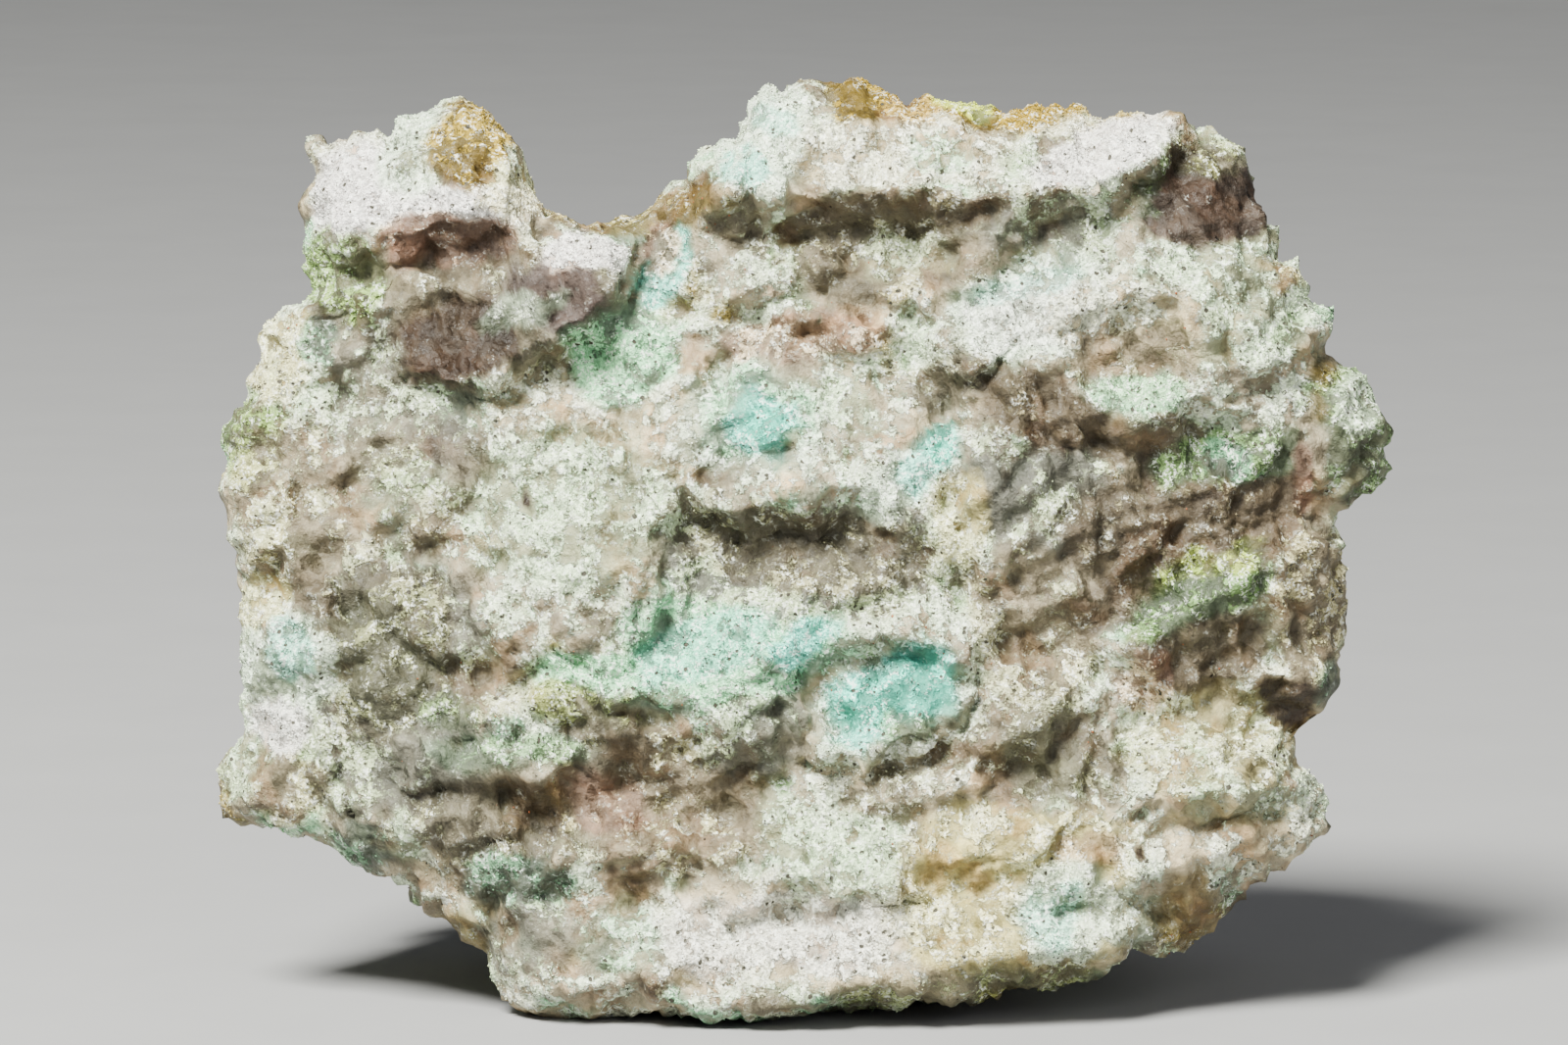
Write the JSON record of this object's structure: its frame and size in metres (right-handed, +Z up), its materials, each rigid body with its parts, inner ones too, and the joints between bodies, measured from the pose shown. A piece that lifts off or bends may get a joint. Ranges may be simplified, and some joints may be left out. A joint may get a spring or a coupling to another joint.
{
  "type": "rough mineral specimen",
  "caption": "Rough hand specimen of pale green donbassite in quartz, a broken blocky slab standing on a small flat spot, notched at the top.",
  "frame": {"origin": "middle of the small flat spot that the stone stands on", "axes": "+X along the stone's length, +Y from its broad face towards its back, +Z up; the broad face looks along -Y and leans back by 8 degrees"},
  "size_m": [0.1203, 0.0551, 0.0943],
  "materials": {
    "stone": "rough broken stone: sugary pale green mica crust over smoky and white quartz, with ochre weathering"
  },
  "bodies": {
    "root": {"rough_stone": "stone"}
  },
  "joints": []
}
